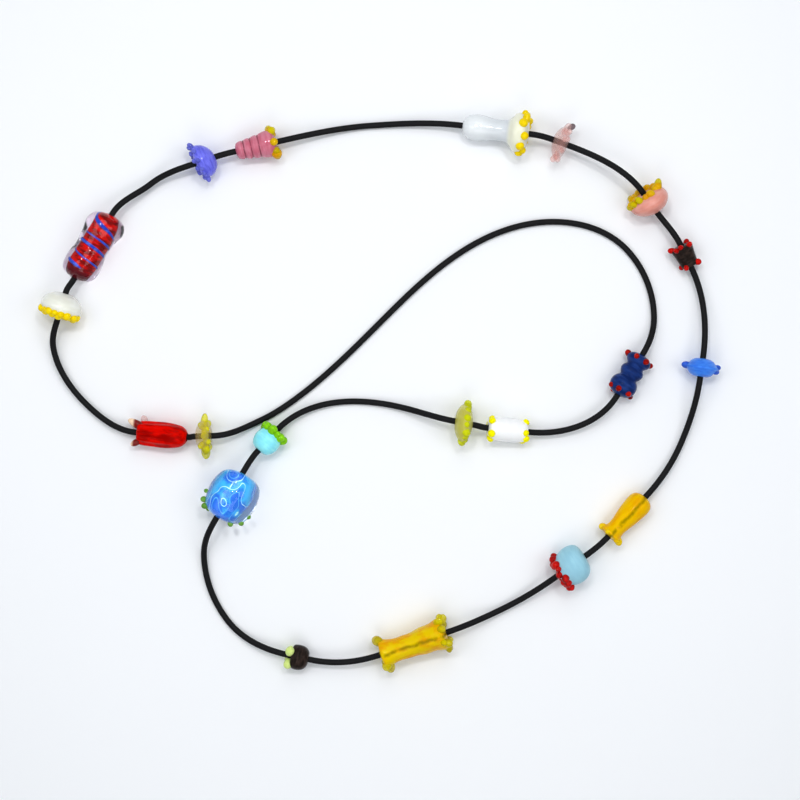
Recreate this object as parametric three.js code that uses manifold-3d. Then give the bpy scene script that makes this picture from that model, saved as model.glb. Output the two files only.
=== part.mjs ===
// A long necklace: twenty lampwork glass beads threaded on one closed loop of black rubber cord.
// It lies on a table as a folded loop that nowhere crosses itself. Each bead is one piece of glass, wound round a
// rod that left its straight hole, with a ring or two of small melted nubs. The cord runs straight through each
// hole, rises to the beads and sags towards the table between them.
// Millimetres, +Z up. The origin is on the table, at the middle of the necklace's outline.

import * as THREE from "three";
import { mergeVertices } from "three/addons/utils/BufferGeometryUtils.js";
import Module from "manifold-3d";

const wasm = await Module();
wasm.setup();

// The cord, and the fit of the beads on it.
const CORD_DIAMETER = 3;
const HOLE_CLEARANCE = 0.3;
const HOLE_DIAMETER = CORD_DIAMETER + 2 * HOLE_CLEARANCE;
const CORD_LEAD = 1;
const CORD_STEP = 8;
const CORD_SIDES = 8;
const CORD_ON_TABLE = CORD_DIAMETER / 2;

// How finely the glass is faceted.
const BEAD_SIDES = 12;
const NUB_DETAIL = 0;

// Each bead's size: the length of its hole, its widest diameter without the nubs, and the diameter of its nubs.
const TRUMPET_LENGTH = 32.5;
const TRUMPET_DIAMETER = 19.6;
const TRUMPET_NUB = 3.6;
const PINK_DISC_LENGTH = 7.5;
const PINK_DISC_DIAMETER = 17.4;
const PINK_DISC_NUB = 3;
const PEACH_LENGTH = 11;
const PEACH_DIAMETER = 20;
const PEACH_NUB = 4;
const CUP_LENGTH = 11.5;
const CUP_DIAMETER = 11;
const CUP_NUB = 2.6;
const LENS_LENGTH = 9.2;
const LENS_DIAMETER = 15.6;
const LENS_NUB = 3.4;
const VASE_LENGTH = 26.5;
const VASE_DIAMETER = 12.6;
const VASE_NUB = 3.2;
const BELL_LENGTH = 15.5;
const BELL_DIAMETER = 18.8;
const BELL_NUB = 3.4;
const TUBE_LENGTH = 34;
const TUBE_DIAMETER = 15.6;
const TUBE_NUB = 3.8;
const BUTTON_LENGTH = 9;
const BUTTON_DIAMETER = 12.4;
const BUTTON_NUB = 5;
const BLUE_LENGTH = 24.5;
const BLUE_DIAMETER = 24.6;
const BLUE_NUB = 2.9;
const TURQUOISE_LENGTH = 12;
const TURQUOISE_DIAMETER = 13.4;
const TURQUOISE_NUB = 3.8;
const OLIVE_LENGTH = 8.8;
const OLIVE_DIAMETER = 19;
const OLIVE_NUB = 3.3;
const BARREL_LENGTH = 20;
const BARREL_DIAMETER = 12.8;
const BARREL_NUB = 2.9;
const COBALT_LENGTH = 23;
const COBALT_DIAMETER = 13.8;
const COBALT_NUB = 2.7;
const STRAW_LENGTH = 8;
const STRAW_DIAMETER = 16;
const STRAW_NUB = 3.7;
const TULIP_LENGTH = 25;
const TULIP_DIAMETER = 12.4;
const TULIP_NUB = 3;
const DOME_LENGTH = 10.5;
const DOME_DIAMETER = 20.4;
const DOME_NUB = 3.4;
const SPIRAL_LENGTH = 36;
const SPIRAL_DIAMETER = 18.8;
const PERIWINKLE_LENGTH = 10;
const PERIWINKLE_DIAMETER = 17;
const PERIWINKLE_NUB = 2.5;
const CONE_LENGTH = 20;
const CONE_DIAMETER = 13.2;
const CONE_NUB = 3.7;

// The beads' shapes, in the order in which the cord runs through them.
// profile: pairs of the share of the length from the near end, and the share of half the diameter there.
// skew leans the body against its hole: how far it is carried along the hole for each millimetre to the left.
// aside is how far the body's middle is to the left of its hole, as a share of the diameter.
// nubs: a row for each ring of melted nubs. out is the share of half the diameter at which their middles sit, lean
// how far they point along the cord instead of straight out, stretch how long they are, and start the first one's
// angle round the hole.
const BEADS = [
  {
    name: "white_trumpet_bead",
    color: 0xe8edf0,
    length: TRUMPET_LENGTH,
    diameter: TRUMPET_DIAMETER,
    profile: [
      [0, 0.3], [0.03, 0.5], [0.1, 0.64], [0.2, 0.69], [0.34, 0.6], [0.5, 0.53], [0.64, 0.56], [0.71, 0.72],
      [0.77, 0.94], [0.84, 1], [0.93, 0.97], [0.98, 0.8], [1, 0.45],
    ],
    nubs: [{ count: 9, size: TRUMPET_NUB, along: 0.94, out: 0.95, lean: 40, stretch: 1.15, start: 0 }],
  },
  {
    name: "pale_pink_disc_bead",
    color: 0xe9c6bf,
    length: PINK_DISC_LENGTH,
    diameter: PINK_DISC_DIAMETER,
    skew: -0.04,
    profile: [[0, 0.3], [0.06, 0.5], [0.2, 0.76], [0.4, 0.95], [0.55, 1], [0.75, 0.9], [0.92, 0.62], [1, 0.3]],
    nubs: [{ count: 7, size: PINK_DISC_NUB, along: 0.7, out: 1, lean: 30, stretch: 1.3, start: 20 }],
  },
  {
    name: "peach_nubbed_bead",
    color: 0xe9a596,
    length: PEACH_LENGTH,
    diameter: PEACH_DIAMETER,
    skew: 0.09,
    profile: [[0, 0.36], [0.05, 0.68], [0.18, 0.9], [0.38, 1], [0.62, 0.96], [0.84, 0.74], [0.96, 0.5], [1, 0.3]],
    nubs: [{ count: 8, size: PEACH_NUB, along: 0.08, out: 0.82, lean: -40, stretch: 1.4, start: 12 }],
  },
  {
    name: "brown_cup_bead",
    color: 0x3a312f,
    length: CUP_LENGTH,
    diameter: CUP_DIAMETER,
    profile: [[0, 0.44], [0.03, 0.8], [0.12, 1], [0.28, 0.95], [0.55, 0.86], [0.82, 0.8], [0.96, 0.74], [1, 0.46]],
    nubs: [
      { count: 6, size: CUP_NUB, along: 0.04, out: 1, lean: -35, stretch: 1.3, start: 0 },
      { count: 5, size: CUP_NUB, along: 0.92, out: 0.82, lean: 35, stretch: 1.1, start: 0 },
    ],
  },
  {
    name: "blue_lens_bead",
    color: 0x3f7fe0,
    length: LENS_LENGTH,
    diameter: LENS_DIAMETER,
    profile: [
      [0, 0.32], [0.03, 0.52], [0.13, 0.74], [0.3, 0.91], [0.5, 1], [0.7, 0.91], [0.87, 0.74], [0.97, 0.52], [1, 0.32],
    ],
    nubs: [{ count: 3, size: LENS_NUB, along: 0.5, out: 1, lean: 0, stretch: 1.3, start: 90 }],
  },
  {
    name: "yellow_vase_bead",
    color: 0xe8b800,
    length: VASE_LENGTH,
    diameter: VASE_DIAMETER,
    profile: [
      [0, 0.34], [0.02, 0.64], [0.08, 0.9], [0.18, 1], [0.36, 0.96], [0.56, 0.84], [0.72, 0.72], [0.83, 0.71],
      [0.91, 0.84], [0.96, 0.96], [1, 0.5],
    ],
    nubs: [{ count: 5, size: VASE_NUB, along: 0.95, out: 0.95, lean: 20, stretch: 1.1, start: 0 }],
  },
  {
    name: "aqua_bell_bead",
    color: 0x9ccde0,
    length: BELL_LENGTH,
    diameter: BELL_DIAMETER,
    profile: [
      [0, 0.4], [0.02, 0.66], [0.08, 0.86], [0.2, 0.98], [0.38, 1], [0.6, 0.95], [0.8, 0.86], [0.93, 0.72], [1, 0.45],
    ],
    nubs: [
      { count: 8, size: BELL_NUB, along: 0.97, out: 0.68, lean: 50, stretch: 1.05, start: 0 },
      { count: 7, size: BELL_NUB, along: 0.87, out: 0.84, lean: 30, stretch: 1.1, start: 20 },
    ],
  },
  {
    name: "amber_tube_bead",
    color: 0xdca400,
    length: TUBE_LENGTH,
    diameter: TUBE_DIAMETER,
    profile: [
      [0, 0.5], [0.015, 0.9], [0.05, 1.04], [0.12, 1], [0.3, 0.9], [0.55, 0.78], [0.75, 0.74], [0.9, 0.82],
      [0.98, 0.9], [1, 0.55],
    ],
    nubs: [
      { count: 8, size: TUBE_NUB, along: 0.03, out: 1.04, lean: -35, stretch: 1.2, start: 0 },
      { count: 5, size: TUBE_NUB, along: 0.96, out: 0.86, lean: 25, stretch: 1.15, start: 30 },
    ],
  },
  {
    name: "brown_button_bead",
    color: 0x3a3231,
    length: BUTTON_LENGTH,
    diameter: BUTTON_DIAMETER,
    profile: [[0, 0.38], [0.05, 0.64], [0.22, 0.9], [0.48, 1], [0.78, 0.98], [0.95, 0.84], [1, 0.46]],
    nubs: [{ count: 4, size: BUTTON_NUB, along: 1.06, out: 0.78, lean: 0, stretch: 1, start: 0 }],
  },
  {
    name: "clear_blue_bead",
    color: 0x3a8de0,
    length: BLUE_LENGTH,
    diameter: BLUE_DIAMETER,
    aside: -0.06,
    profile: [
      [0, 0.32], [0.03, 0.56], [0.12, 0.82], [0.3, 0.98], [0.52, 1.02], [0.74, 0.97], [0.9, 0.8], [0.98, 0.54], [1, 0.3],
    ],
    nubs: [{ count: 9, size: BLUE_NUB, along: 0.14, out: 0.88, lean: -25, stretch: 1.1, start: 0 }],
  },
  {
    name: "turquoise_bead",
    color: 0x70dcf2,
    length: TURQUOISE_LENGTH,
    diameter: TURQUOISE_DIAMETER,
    profile: [[0, 0.36], [0.04, 0.6], [0.18, 0.86], [0.42, 1], [0.68, 0.97], [0.9, 0.8], [1, 0.5]],
    nubs: [{ count: 8, size: TURQUOISE_NUB, along: 0.93, out: 0.84, lean: 40, stretch: 1.1, start: 0 }],
  },
  {
    name: "olive_disc_bead",
    color: 0xb9c03a,
    length: OLIVE_LENGTH,
    diameter: OLIVE_DIAMETER,
    skew: -0.08,
    profile: [[0, 0.3], [0.05, 0.54], [0.2, 0.8], [0.4, 0.97], [0.58, 1], [0.76, 0.9], [0.92, 0.6], [1, 0.3]],
    nubs: [{ count: 10, size: OLIVE_NUB, along: 0.66, out: 0.97, lean: 20, stretch: 1.15, start: 0 }],
  },
  {
    name: "white_barrel_bead",
    color: 0xf6f7f5,
    length: BARREL_LENGTH,
    diameter: BARREL_DIAMETER,
    profile: [[0, 0.42], [0.03, 0.76], [0.12, 0.92], [0.5, 1], [0.88, 0.92], [0.97, 0.76], [1, 0.42]],
    nubs: [
      { count: 6, size: BARREL_NUB, along: 0.05, out: 0.86, lean: -40, stretch: 0.85, start: 0 },
      { count: 6, size: BARREL_NUB, along: 0.95, out: 0.86, lean: 40, stretch: 0.85, start: 0 },
    ],
  },
  {
    name: "cobalt_lobed_bead",
    color: 0x1f3f8a,
    length: COBALT_LENGTH,
    diameter: COBALT_DIAMETER,
    profile: [
      [0, 0.36], [0.04, 0.7], [0.12, 0.92], [0.22, 1], [0.34, 0.92], [0.43, 0.68], [0.5, 0.78], [0.58, 0.84],
      [0.66, 0.78], [0.72, 0.62], [0.79, 0.82], [0.87, 0.9], [0.95, 0.76], [1, 0.36],
    ],
    nubs: [
      { count: 5, size: COBALT_NUB, along: 0.1, out: 0.88, lean: -30, stretch: 1.15, start: 0 },
      { count: 5, size: COBALT_NUB, along: 0.93, out: 0.84, lean: 25, stretch: 1.15, start: 0 },
    ],
  },
  {
    name: "clear_yellow_disc_bead",
    color: 0xd8cf6a,
    length: STRAW_LENGTH,
    diameter: STRAW_DIAMETER,
    profile: [[0, 0.3], [0.08, 0.6], [0.26, 0.88], [0.5, 1], [0.72, 0.9], [0.92, 0.6], [1, 0.3]],
    nubs: [{ count: 6, size: STRAW_NUB, along: 0.42, out: 0.94, lean: -12, stretch: 1.3, start: 18 }],
  },
  {
    name: "red_tulip_bead",
    color: 0xc01008,
    length: TULIP_LENGTH,
    diameter: TULIP_DIAMETER,
    profile: [[0, 0.34], [0.03, 0.56], [0.12, 0.84], [0.3, 0.98], [0.5, 1], [0.75, 0.95], [0.93, 0.9], [1, 0.5]],
    nubs: [{ count: 4, size: TULIP_NUB, along: 1, out: 0.86, lean: 50, stretch: 2, start: 0 }],
  },
  {
    name: "ivory_dome_bead",
    color: 0xeceadd,
    length: DOME_LENGTH,
    diameter: DOME_DIAMETER,
    profile: [[0, 0.38], [0.04, 0.76], [0.16, 0.95], [0.36, 1.01], [0.62, 0.9], [0.84, 0.66], [0.96, 0.45], [1, 0.3]],
    nubs: [{ count: 11, size: DOME_NUB, along: 0.03, out: 0.88, lean: -40, stretch: 1.1, start: 0 }],
  },
  {
    name: "cased_spiral_bead",
    color: 0xb01712,
    length: SPIRAL_LENGTH,
    diameter: SPIRAL_DIAMETER,
    skew: -0.06,
    profile: [
      [0, 0.3], [0.02, 0.6], [0.07, 0.86], [0.17, 1], [0.32, 0.95], [0.5, 0.86], [0.66, 0.91], [0.82, 1.01],
      [0.93, 0.88], [0.98, 0.6], [1, 0.3],
    ],
    nubs: [],
  },
  {
    name: "periwinkle_dome_bead",
    color: 0x7c80e6,
    length: PERIWINKLE_LENGTH,
    diameter: PERIWINKLE_DIAMETER,
    skew: -0.1,
    profile: [[0, 0.36], [0.04, 0.72], [0.16, 0.95], [0.38, 0.98], [0.68, 0.8], [0.9, 0.54], [1, 0.32]],
    nubs: [
      { count: 9, size: PERIWINKLE_NUB, along: 0.06, out: 1.02, lean: -40, stretch: 1.4, start: 0 },
      { count: 5, size: PERIWINKLE_NUB, along: 0.02, out: 0.62, lean: -70, stretch: 1.1, start: 0 },
    ],
  },
  {
    name: "pink_cone_bead",
    color: 0xc9667c,
    length: CONE_LENGTH,
    diameter: CONE_DIAMETER,
    profile: [
      [0, 0.4], [0.04, 0.62], [0.18, 0.72], [0.22, 0.68], [0.26, 0.74], [0.36, 0.8], [0.4, 0.76], [0.44, 0.83],
      [0.58, 0.9], [0.62, 0.86], [0.66, 0.93], [0.85, 1], [0.96, 0.88], [1, 0.5],
    ],
    nubs: [{ count: 6, size: CONE_NUB, along: 0.93, out: 0.94, lean: 30, stretch: 1.05, start: 0 }],
  },
];

// The necklace's route, as the few places that settle it: through each bead in turn, and past bare points between
// them. A bead's row gives the middle of its hole, the way the cord runs through it in plan, how far its far end is
// raised, and how far it is turned on the cord. It then sinks until it rests on the table.
// A bare point gives where the middle of the cord is, its heading in plan and how steeply it climbs.
const ROUTE = [
  { bead: "white_trumpet_bead", x: 57, y: 129.6, heading: -8.5, pitch: 8, roll: 12 },
  { bead: "pale_pink_disc_bead", x: 89, y: 123.1, heading: -20, pitch: -2, roll: 0 },
  { bead: "peach_nubbed_bead", x: 133.7, y: 93.3, heading: -51, pitch: -17, roll: 0 },
  { bead: "brown_cup_bead", x: 152, y: 67, heading: -62, pitch: -12, roll: 30 },
  { bead: "blue_lens_bead", x: 159.5, y: 11.1, heading: -98, pitch: 0, roll: 0 },
  { x: 150.4, y: -26.2, z: 3.5, heading: -113, climb: 0 },
  { bead: "yellow_vase_bead", x: 122.5, y: -63.3, heading: -134, pitch: 5, roll: 0 },
  { bead: "aqua_bell_bead", x: 94.8, y: -87.4, heading: -144, pitch: -3, roll: 10 },
  { x: 61, y: -109.6, z: 3.5, heading: -154, climb: 0 },
  { bead: "amber_tube_bead", x: 15.9, y: -126.3, heading: -161, pitch: -3, roll: 0 },
  { bead: "brown_button_bead", x: -40.9, y: -133.7, heading: 168, pitch: 0, roll: 45 },
  { x: -77.8, y: -115.4, z: CORD_ON_TABLE, heading: 127, climb: 0 },
  { x: -89, y: -85, z: 3.6, heading: 93, climb: 8 },
  { bead: "clear_blue_bead", x: -75.2, y: -52.2, heading: 60, pitch: -6, roll: 0 },
  { bead: "turquoise_bead", x: -57.2, y: -25.6, heading: 48, pitch: -10, roll: 0 },
  { x: -14, y: -5.7, z: CORD_ON_TABLE, heading: 0, climb: 0 },
  { x: 9.6, y: -8.6, z: 3.2, heading: -13, climb: 7 },
  { bead: "olive_disc_bead", x: 40.9, y: -16.4, heading: -11, pitch: -2, roll: 0 },
  { bead: "white_barrel_bead", x: 62.8, y: -19.9, heading: -6, pitch: -11, roll: 15 },
  { bead: "cobalt_lobed_bead", x: 124, y: 7.5, heading: 58, pitch: -2, roll: 20 },
  { x: 136.8, y: 37.4, z: 2.6, heading: 91, climb: -5 },
  { x: 124, y: 69.8, z: CORD_ON_TABLE, heading: 132, climb: 0 },
  { x: 86.3, y: 84.6, z: CORD_ON_TABLE, heading: 180, climb: 0 },
  { x: 40, y: 69.4, z: CORD_ON_TABLE, heading: 213, climb: 0 },
  { x: -0.5, y: 34.2, z: CORD_ON_TABLE, heading: 225, climb: 0 },
  { x: -41, y: -2.8, z: CORD_ON_TABLE, heading: 217, climb: 0 },
  { x: -60.8, y: -15.2, z: CORD_ON_TABLE, heading: 205, climb: 0 },
  { bead: "clear_yellow_disc_bead", x: -88.4, y: -23, heading: 182, pitch: -2, roll: 0 },
  { bead: "red_tulip_bead", x: -109.4, y: -22.4, heading: 175, pitch: -5, roll: 45 },
  { x: -146.6, y: -8.6, z: 3, heading: 137, climb: 0 },
  { x: -164.2, y: 21, z: 5.4, heading: 98, climb: 12 },
  { bead: "ivory_dome_bead", x: -158.6, y: 42.9, heading: 72, pitch: 4, roll: 0 },
  { bead: "cased_spiral_bead", x: -143.6, y: 71.3, heading: 59.5, pitch: 0, roll: 0 },
  { x: -115.4, y: 103.1, z: 5.5, heading: 38, climb: 2 },
  { bead: "periwinkle_dome_bead", x: -87.8, y: 114.4, heading: 19, pitch: -4, roll: 0 },
  { bead: "pink_cone_bead", x: -62.6, y: 121.3, heading: 13.5, pitch: -3, roll: 0 },
  { x: -6, y: 132.8, z: 2, heading: 4, climb: 0 },
];

const radians = THREE.MathUtils.degToRad;

// A closed three.js geometry as a solid that can be joined and cut.
function solidOf(geometry) {
  const bare = geometry.index ? geometry.toNonIndexed() : geometry.clone();
  bare.deleteAttribute("normal");
  bare.deleteAttribute("uv");
  const merged = mergeVertices(bare, 1e-4);
  return new wasm.Manifold(
    new wasm.Mesh({
      numProp: 3,
      vertProperties: merged.getAttribute("position").array,
      triVerts: new Uint32Array(merged.index.array),
    }),
  );
}

// And a solid back as a geometry.
function geometryOf(solid) {
  const mesh = solid.getMesh();
  return new THREE.BufferGeometry()
    .setAttribute("position", new THREE.BufferAttribute(mesh.vertProperties, 3))
    .setIndex(new THREE.BufferAttribute(mesh.triVerts, 1));
}

// The wound glass body, turned round the X axis with its middle at the origin.
function bodyGeometry({ length, diameter, profile }) {
  const outline = profile.map(
    ([along, radius]) => new THREE.Vector2((radius * diameter) / 2, (along - 0.5) * length),
  );
  outline.unshift(new THREE.Vector2(0, -length / 2));
  outline.push(new THREE.Vector2(0, length / 2));
  return new THREE.LatheGeometry(outline, BEAD_SIDES).rotateZ(-Math.PI / 2);
}

// One ring of melted nubs: small balls drawn out along the way they lean.
function nubGeometries({ length, diameter }, ring) {
  const lean = radians(ring.lean);
  return Array.from({ length: ring.count }, (_, i) =>
    new THREE.IcosahedronGeometry(ring.size / 2, NUB_DETAIL)
      .scale(1, 1, ring.stretch)
      .rotateY(lean)
      .translate((ring.along - 0.5) * length, 0, (ring.out * diameter) / 2)
      .rotateX(radians(ring.start) + (2 * Math.PI * i) / ring.count),
  );
}

// A whole bead: body and nubs melted together, leant and set aside, and the straight hole that the rod leaves.
function beadGeometry(bead) {
  const { skew = 0, aside = 0 } = bead;
  const lean = new THREE.Matrix4().makeShear(0, 0, skew, 0, 0, 0).setPosition(0, aside * bead.diameter, 0);
  let glass = solidOf(bodyGeometry(bead).applyMatrix4(lean));
  for (const ring of bead.nubs) {
    for (const nub of nubGeometries(bead, ring)) {
      glass = glass.add(solidOf(nub.applyMatrix4(lean)));
    }
  }
  const holeLength = 2 * bead.length;
  const hole = new THREE.CylinderGeometry(HOLE_DIAMETER / 2, HOLE_DIAMETER / 2, holeLength, BEAD_SIDES);
  return geometryOf(glass.subtract(solidOf(hole.rotateZ(-Math.PI / 2))));
}

// Turns a bead into place and lowers it until its lowest point touches the table.
function beadMesh(row) {
  const bead = BEADS.find(({ name }) => name === row.bead);
  const finish = new THREE.MeshStandardMaterial({ color: bead.color, roughness: 0.08, metalness: 0 });
  const mesh = new THREE.Mesh(beadGeometry(bead), finish);
  mesh.name = bead.name;
  mesh.rotation.set(radians(row.roll), -radians(row.pitch), radians(row.heading), "ZYX");
  mesh.position.set(row.x, row.y, 0);
  mesh.position.z = -new THREE.Box3().setFromObject(mesh, true).min.z;
  mesh.updateMatrixWorld(true);
  return mesh;
}

// The two places where the cord goes from curved to straight, either side of a bead.
function beadStops(bead, mesh) {
  const half = bead.length / 2 + CORD_LEAD;
  const direction = new THREE.Vector3(1, 0, 0).applyEuler(mesh.rotation);
  return [-half, half].map((along) => ({
    point: mesh.localToWorld(new THREE.Vector3(along, 0, 0)),
    direction,
  }));
}

// A bare point of the route, with the direction in which the cord runs there.
function bareStop({ x, y, z, heading, climb }) {
  const direction = new THREE.Vector3(1, 0, 0).applyEuler(
    new THREE.Euler(0, -radians(climb), radians(heading), "ZYX"),
  );
  return [{ point: new THREE.Vector3(x, y, z), direction }];
}

// A free stretch of cord from one stop to the next. The handles are as long as those of the circular arc that
// turns by the same angle, so an even bend comes out round.
function freeStretch(from, to) {
  const chord = from.point.distanceTo(to.point);
  const turn = Math.max(from.direction.angleTo(to.direction), 1e-3);
  const handle = (chord * (2 / 3) * Math.tan(turn / 4)) / Math.sin(turn / 2);
  return new THREE.CubicBezierCurve3(
    from.point,
    from.point.clone().addScaledVector(from.direction, handle),
    to.point.clone().addScaledVector(to.direction, -handle),
    to.point,
  );
}

// The whole closed line of the cord: a straight line through each bead and a free stretch after every stop.
function cordPath(meshes) {
  const path = new THREE.CurvePath();
  const stops = ROUTE.map((row) =>
    row.bead ? beadStops(BEADS.find((bead) => bead.name === row.bead), meshes.get(row.bead)) : bareStop(row),
  );
  stops.forEach((ends, i) => {
    const last = ends[ends.length - 1];
    if (ends.length === 2) {
      path.add(new THREE.LineCurve3(ends[0].point, last.point));
    }
    path.add(freeStretch(last, stops[(i + 1) % stops.length][0]));
  });
  return path;
}

// That line again, but stepped so that every straight and every free stretch begins and ends on a ring of the tube.
class SteppedCurve extends THREE.Curve {
  constructor(path, step) {
    super();
    this.places = path.curves.flatMap((curve) => {
      const count = curve.isLineCurve3 ? 1 : Math.ceil(curve.getLength() / step);
      return Array.from({ length: count }, (_, i) => ({ curve, u: i / count }));
    });
  }

  at(u) {
    return this.places[Math.round(u * this.places.length) % this.places.length];
  }

  getPointAt(u, target) {
    const { curve, u: within } = this.at(u);
    return curve.getPointAt(within, target);
  }

  getTangentAt(u, target) {
    const { curve, u: within } = this.at(u);
    return curve.getTangentAt(within, target);
  }
}

function cordMesh(meshes) {
  const curve = new SteppedCurve(cordPath(meshes), CORD_STEP);
  const geometry = new THREE.TubeGeometry(curve, curve.places.length, CORD_DIAMETER / 2, CORD_SIDES, true);
  const rubber = new THREE.MeshStandardMaterial({ color: 0x17171a, roughness: 0.6, metalness: 0 });
  const mesh = new THREE.Mesh(geometry, rubber);
  mesh.name = "rubber_cord";
  return mesh;
}

const necklace = new THREE.Group();
const beadMeshes = new Map(ROUTE.filter((row) => row.bead).map((row) => [row.bead, beadMesh(row)]));
necklace.add(cordMesh(beadMeshes), ...beadMeshes.values());

export default necklace;
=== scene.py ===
import bpy
import numpy as np
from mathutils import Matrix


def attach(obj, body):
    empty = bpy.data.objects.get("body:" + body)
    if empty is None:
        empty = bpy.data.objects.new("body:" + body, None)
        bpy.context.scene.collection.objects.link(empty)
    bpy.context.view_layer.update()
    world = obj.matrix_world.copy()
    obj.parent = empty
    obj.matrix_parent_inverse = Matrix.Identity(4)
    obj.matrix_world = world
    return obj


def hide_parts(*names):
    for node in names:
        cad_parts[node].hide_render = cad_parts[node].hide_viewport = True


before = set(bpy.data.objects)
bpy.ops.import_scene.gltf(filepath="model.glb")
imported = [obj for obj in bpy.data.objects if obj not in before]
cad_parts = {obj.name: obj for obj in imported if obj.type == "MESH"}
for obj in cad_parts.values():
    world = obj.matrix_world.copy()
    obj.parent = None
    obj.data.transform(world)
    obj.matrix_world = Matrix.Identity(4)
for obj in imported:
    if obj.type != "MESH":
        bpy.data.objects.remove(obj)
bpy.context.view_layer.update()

# The view is the one of a camera held straight above the table, a little to the right of the necklace's
# middle. A long lens keeps the beads at the edge from leaning outwards, and the contrast is raised a little,
# as in a print.
view = bpy.data.cameras.new("camera")
view.lens = 72
view.sensor_width = 36
camera = bpy.data.objects.new("camera", view)
camera.location = (0.00925, -0.005, 0.806)
bpy.context.collection.objects.link(camera)
bpy.context.scene.camera = camera
bpy.context.scene.view_settings.view_transform = "Standard"
bpy.context.scene.view_settings.gamma = 0.88


# The light is that of a white tent: a pale surround, four wide soft boxes close round the necklace, which
# leave hardly a shadow, and two small lamps high up at the back, which leave the small double glints on the
# glass.
def lamp(name, place, width, power):
    """A square lamp at its place, in metres, that shines at the origin with its power in watts."""
    light = bpy.data.lights.new(name, "AREA")
    light.size = width
    light.energy = power
    piece = bpy.data.objects.new(name, light)
    piece.location = place
    aim = np.array(place) / np.linalg.norm(place)
    piece.rotation_euler = (np.arccos(aim[2]), 0, np.arctan2(aim[1], aim[0]) + np.pi / 2)
    bpy.context.collection.objects.link(piece)


soft_box = {"width": 0.4, "power": 0.95}
glint = {"width": 0.09, "power": 1.5}
lamp("left_box", (-0.4, 0.05, 0.62), **soft_box)
lamp("right_box", (0.4, -0.03, 0.62), **soft_box)
lamp("far_box", (0.03, 0.42, 0.62), **soft_box)
lamp("near_box", (-0.03, -0.42, 0.62), **soft_box)
lamp("left_glint", (-0.17, 0.3, 1.0), **glint)
lamp("right_glint", (0.17, 0.34, 1.0), **glint)
tent = bpy.data.worlds.new("tent")
tent.use_nodes = True
tent.node_tree.nodes["Background"].inputs["Color"].default_value = (0.9, 0.95, 1, 1)
tent.node_tree.nodes["Background"].inputs["Strength"].default_value = 0.33
bpy.context.scene.world = tent


# The table is a plain white sheet, matt and smooth, seen straight from above. It reaches far past the
# necklace, so that no edge of it shows from any side, and lies a hair below the beads.
class Wire:
    """A value in a material's node tree that can be reckoned with: +, -, * and abs each add a Math node."""

    def __init__(self, finish, out):
        self.finish = finish
        self.out = out

    def reckon(self, operation, first, second):
        return self.finish.node("ShaderNodeMath", {"operation": operation}, first, second)

    def __add__(self, other):
        return self.reckon("ADD", self, other)

    def __radd__(self, other):
        return self.reckon("ADD", other, self)

    def __sub__(self, other):
        return self.reckon("SUBTRACT", self, other)

    def __rsub__(self, other):
        return self.reckon("SUBTRACT", other, self)

    def __mul__(self, other):
        return self.reckon("MULTIPLY", self, other)

    def __rmul__(self, other):
        return self.reckon("MULTIPLY", other, self)

    def __abs__(self):
        return self.reckon("ABSOLUTE", self, None)

    def between(self, low, high):
        """0 below low, 1 above high and a smooth step from one to the other."""
        settings = {"interpolation_type": "SMOOTHSTEP", "clamp": True}
        return self.finish.node("ShaderNodeMapRange", settings, self, low, high, 0.0, 1.0)


class Finish:
    """A material, with one method that adds any node and one for each pattern that the pieces share."""

    def __init__(self, name, **constants):
        self.material = bpy.data.materials.new(name)
        self.material.use_nodes = True
        self.tree = self.material.node_tree
        self.shader = self.tree.nodes["Principled BSDF"]
        for socket, value in constants.items():
            self.shader.inputs[socket.replace("_", " ")].default_value = value

    def node(self, kind, settings, *values, output=0):
        """Adds a node, makes its settings, then sets or links its sockets in order. None leaves a socket
        alone."""
        added = self.tree.nodes.new(kind)
        for setting, value in settings.items():
            setattr(added, setting, value)
        sockets = [socket for socket in added.inputs if socket.enabled]
        for socket, value in zip(sockets, values):
            if isinstance(value, Wire):
                self.tree.links.new(value.out, socket)
            elif value is not None:
                socket.default_value = value
        outputs = [socket for socket in added.outputs if socket.enabled]
        return Wire(self, outputs[output])

    def feed(self, socket, value):
        self.tree.links.new(value.out, self.shader.inputs[socket])

    def place(self):
        """Object coordinates, in metres."""
        return self.node("ShaderNodeTexCoord", {}, output=3)

    def noise(self, where, scale, detail=2.0, roughness=0.5):
        return self.node("ShaderNodeTexNoise", {}, where, scale, detail, roughness)

    def own(self, scale=(1, 1, 1)):
        """The bead's own coordinates in centimetres, x along its hole, stretched by scale."""
        kept = self.node("ShaderNodeAttribute", {"attribute_name": "bead"}, output=1)
        return self.node("ShaderNodeMapping", {}, kept, None, None, scale)

    def across(self, axis):
        """How far a point is along one of the bead's own axes, in centimetres from its middle."""
        return self.node("ShaderNodeSeparateXYZ", {}, self.own(), output="xyz".index(axis))

    def mix(self, share, first, second):
        """The colour first where share is 0 and second where it is 1."""
        settings = {"data_type": "RGBA"}
        return self.node("ShaderNodeMix", settings, share, first, second)

    def bump(self, height, strength, distance):
        self.feed("Normal", self.node("ShaderNodeBump", {}, strength, distance, None, height))

    def melted(self, where, scale, strength):
        """The slow dips and swells of a skin that was melted smooth."""
        self.bump(self.noise(where, scale, 1.0), strength, 0.0006)


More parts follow.
